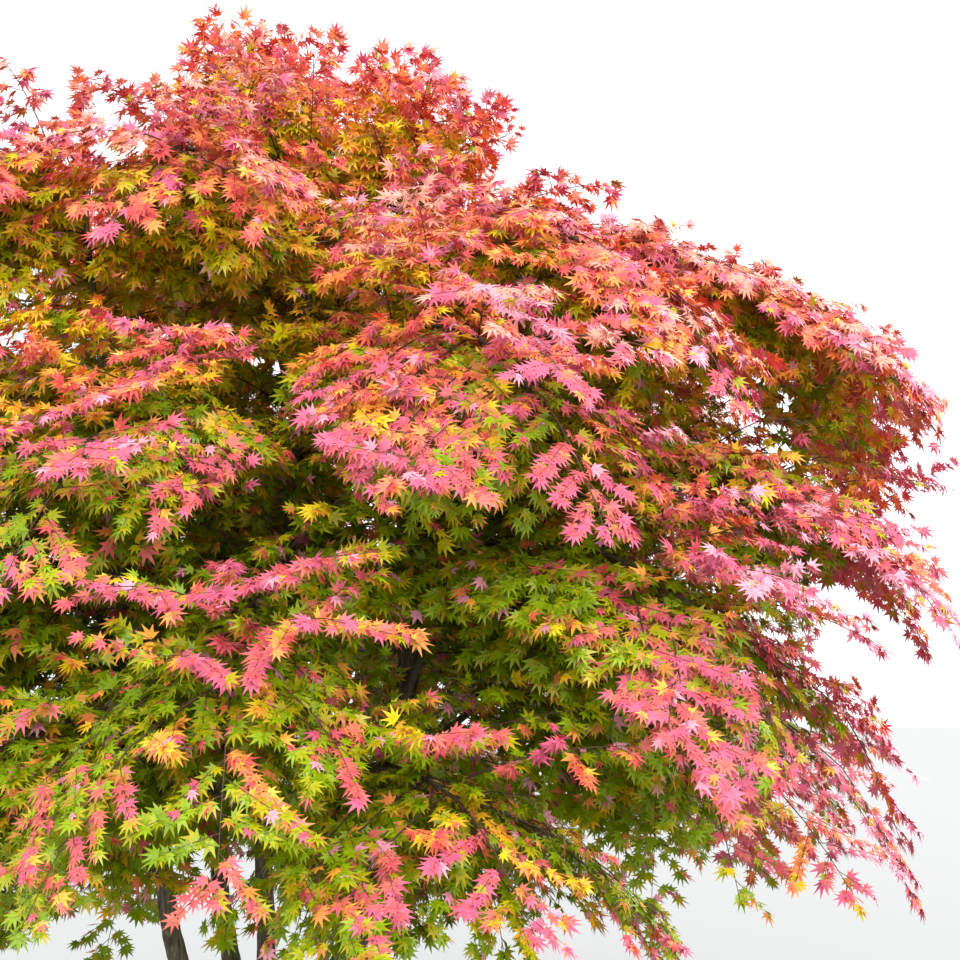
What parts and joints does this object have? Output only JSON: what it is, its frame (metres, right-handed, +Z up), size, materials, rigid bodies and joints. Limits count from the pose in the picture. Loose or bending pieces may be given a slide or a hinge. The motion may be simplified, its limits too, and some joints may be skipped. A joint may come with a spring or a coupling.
{
  "type": "japanese maple tree",
  "caption": "Spreading Japanese maple in autumn leaf: stems rise from a short flared trunk and carry tiers of drooping foliage under two upright plumes.",
  "frame": {"origin": "centre of the flat cut under the trunk, at ground level", "axes": "+Z up along the trunk; -Y is the side seen in the picture and +X is to its right"},
  "size_m": [3.933, 3.5473, 4.0709],
  "materials": {
    "bark": "smooth grey-brown bark with fine cracks, knots and a green cast",
    "leaf_red": "soft matte leaves, coral red with salmon edges",
    "leaf_coral": "soft matte leaves, coral and orange",
    "leaf_pink": "soft matte leaves, rose pink over yellow-green",
    "leaf_amber": "soft matte leaves, amber and pink over olive",
    "leaf_olive": "soft matte leaves, olive and yellow-green with pink tips"
  },
  "bodies": {
    "root": {"trunk": "bark", "stem_leader": "bark", "stem_right_front": "bark", "stem_right_back": "bark", "stem_left_back": "bark", "stem_left_front": "bark", "bough_middle_1": "bark", "bough_middle_2": "bark", "bough_middle_3": "bark", "bough_middle_4": "bark", "bough_middle_5": "bark", "bough_middle_6": "bark", "bough_middle_7": "bark", "bough_belt_1": "bark", "bough_belt_2": "bark", "bough_belt_3": "bark", "bough_belt_4": "bark", "bough_belt_5": "bark", "bough_belt_6": "bark", "bough_belt_7": "bark", "bough_skirt_1": "bark", "bough_skirt_2": "bark", "bough_skirt_3": "bark", "bough_skirt_4": "bark", "bough_skirt_5": "bark", "bough_skirt_6": "bark", "bough_upper_front": "bark", "bough_upper_back": "bark", "bough_upper_right": "bark", "bough_plume_right": "bark", "foliage_middle_1": "leaf_pink", "foliage_middle_2": "leaf_pink", "foliage_middle_3": "leaf_pink", "foliage_middle_4": "leaf_pink", "foliage_middle_5": "leaf_pink", "foliage_middle_6": "leaf_pink", "foliage_middle_7": "leaf_pink", "foliage_belt_1": "leaf_amber", "foliage_belt_2": "leaf_amber", "foliage_belt_3": "leaf_amber", "foliage_belt_4": "leaf_amber", "foliage_belt_5": "leaf_amber", "foliage_belt_6": "leaf_amber", "foliage_belt_7": "leaf_amber", "foliage_skirt_1": "leaf_olive", "foliage_skirt_2": "leaf_olive", "foliage_skirt_3": "leaf_olive", "foliage_skirt_4": "leaf_olive", "foliage_skirt_5": "leaf_olive", "foliage_skirt_6": "leaf_olive", "foliage_upper_right_front": "leaf_coral", "foliage_upper_right_back": "leaf_coral", "foliage_upper_left_back": "leaf_coral", "foliage_upper_left_front": "leaf_coral", "foliage_upper_front": "leaf_coral", "foliage_upper_back": "leaf_coral", "foliage_upper_right": "leaf_coral", "foliage_plume_left": "leaf_red", "foliage_plume_right": "leaf_red"}
  },
  "joints": []
}
